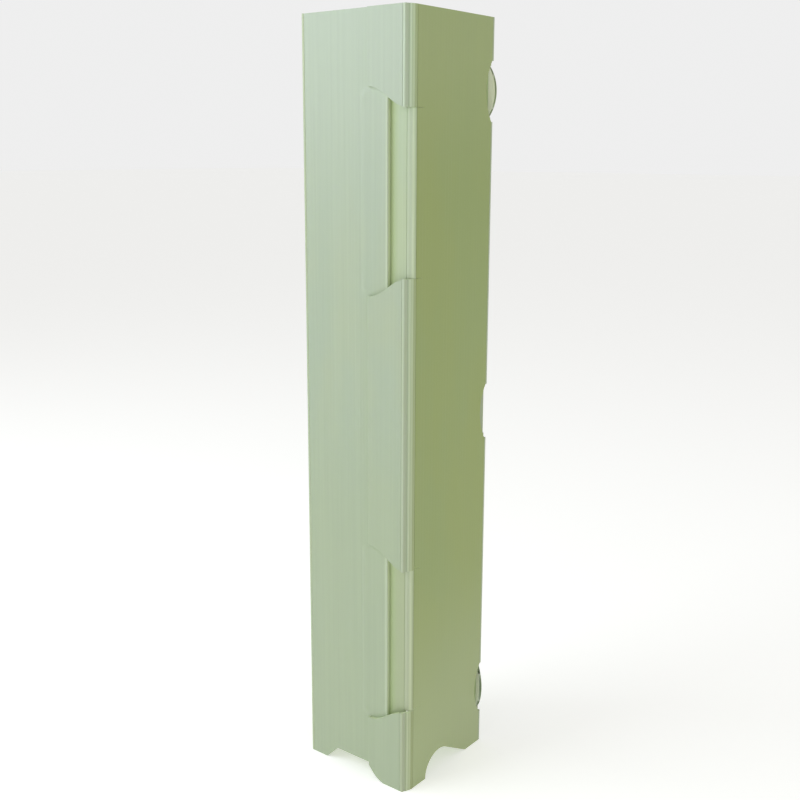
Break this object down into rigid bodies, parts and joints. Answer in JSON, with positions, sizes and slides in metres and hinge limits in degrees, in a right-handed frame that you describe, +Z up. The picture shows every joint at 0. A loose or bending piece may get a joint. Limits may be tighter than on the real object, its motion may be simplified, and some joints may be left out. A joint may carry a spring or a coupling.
{
  "type": "square tree shelter",
  "caption": "Tall square tube of twin-wall sheet, folded from one die-cut blank and closed by interlocking seam tabs, with feet at the base and half-moon tie cut-outs.",
  "frame": {"origin": "middle of the bounding box, on the ground plane under the feet", "axes": "+Z up along the tube, -Y out of the front face that carries the tabbed seam, +X out of the right face beside it"},
  "size_m": [0.1082, 0.1076, 0.61],
  "materials": {
    "sheet": "pale green translucent fluted polypropylene sheet, satin",
    "crease": "same sheet, crushed flat along a crease, slightly glossier",
    "tab": "same sheet, satin, seen single or doubled"
  },
  "bodies": {
    "right_side": {"right_panel": "sheet"},
    "back_side": {"back_panel": "sheet", "back_right_crease": "crease"},
    "left_side": {"left_panel": "sheet", "back_left_crease": "crease"},
    "front_side": {"front_panel": "sheet", "front_left_crease": "crease"},
    "seam": {"seam_crease_1": "crease", "seam_crease_2": "crease", "seam_crease_3": "crease", "seam_crease_4": "crease", "seam_crease_5": "crease"},
    "tab_1": {"seam_tab_1": "tab"},
    "tab_2": {"seam_tab_2": "tab"},
    "tab_3": {"seam_tab_3": "tab"},
    "tab_4": {"seam_tab_4": "tab"},
    "tab_5": {"seam_tab_5": "tab"},
    "tie_top": {"tie_tab_top": "tab"},
    "tie_middle": {"tie_tab_middle": "tab"},
    "tie_bottom": {"tie_tab_bottom": "tab"}
  },
  "joints": [
    {"name": "tube_collapse", "type": "hinge", "parent": "right_side", "child": "back_side", "pos_m": [0.0484, 0.05135, 0.305], "axis": [0, 0, 1], "range_deg": [0, 80], "deforming": ["back_right_crease"]},
    {"name": "back_left_fold", "type": "hinge", "parent": "back_side", "child": "left_side", "pos_m": [-0.0516, 0.05135, 0.305], "axis": [0, 0, 1], "range_deg": [-80, 0], "deforming": ["back_left_crease"]},
    {"name": "front_left_fold", "type": "hinge", "parent": "left_side", "child": "front_side", "pos_m": [-0.0516, -0.04865, 0.305], "axis": [0, 0, 1], "range_deg": [0, 80], "deforming": ["front_left_crease"]},
    {"name": "seam_fold", "type": "hinge", "parent": "right_side", "child": "seam", "pos_m": [0.0484, -0.04865, 0.305], "axis": [0, 0, 1], "range_deg": [0, 80], "deforming": ["seam_crease_1", "seam_crease_2", "seam_crease_3", "seam_crease_4", "seam_crease_5"]},
    {"name": "tab_1_flex", "type": "hinge", "parent": "seam", "child": "tab_1", "pos_m": [0.0454, -0.05385, 0.575], "axis": [0, 0, 1], "range_deg": [0, 90]},
    {"name": "tab_2_flex", "type": "hinge", "parent": "seam", "child": "tab_2", "pos_m": [0.0454, -0.04595, 0.48], "axis": [0, 0, 1], "range_deg": [-75, 0]},
    {"name": "tab_3_flex", "type": "hinge", "parent": "seam", "child": "tab_3", "pos_m": [0.0454, -0.05385, 0.305], "axis": [0, 0, 1], "range_deg": [0, 90]},
    {"name": "tab_4_flex", "type": "hinge", "parent": "seam", "child": "tab_4", "pos_m": [0.0454, -0.04595, 0.13], "axis": [0, 0, 1], "range_deg": [-75, 0]},
    {"name": "tab_5_flex", "type": "hinge", "parent": "seam", "child": "tab_5", "pos_m": [0.0454, -0.05385, 0.035], "axis": [0, 0, 1], "range_deg": [0, 90]},
    {"name": "tie_top_flex", "type": "hinge", "parent": "back_side", "child": "tie_top", "pos_m": [0.0474, 0.05135, 0.555], "axis": [0, 0, -1], "range_deg": [0, 120]},
    {"name": "tie_middle_flex", "type": "hinge", "parent": "back_side", "child": "tie_middle", "pos_m": [0.0474, 0.05135, 0.3], "axis": [0, 0, 1], "range_deg": [0, 120]},
    {"name": "tie_bottom_flex", "type": "hinge", "parent": "back_side", "child": "tie_bottom", "pos_m": [0.0474, 0.05135, 0.051], "axis": [0, 0, -1], "range_deg": [-30, 90]}
  ],
  "couplings": [
    {"joint": "back_left_fold", "follows": "tube_collapse", "ratio": -1},
    {"joint": "front_left_fold", "follows": "tube_collapse", "ratio": 1},
    {"joint": "seam_fold", "follows": "tube_collapse", "ratio": 1}
  ]
}
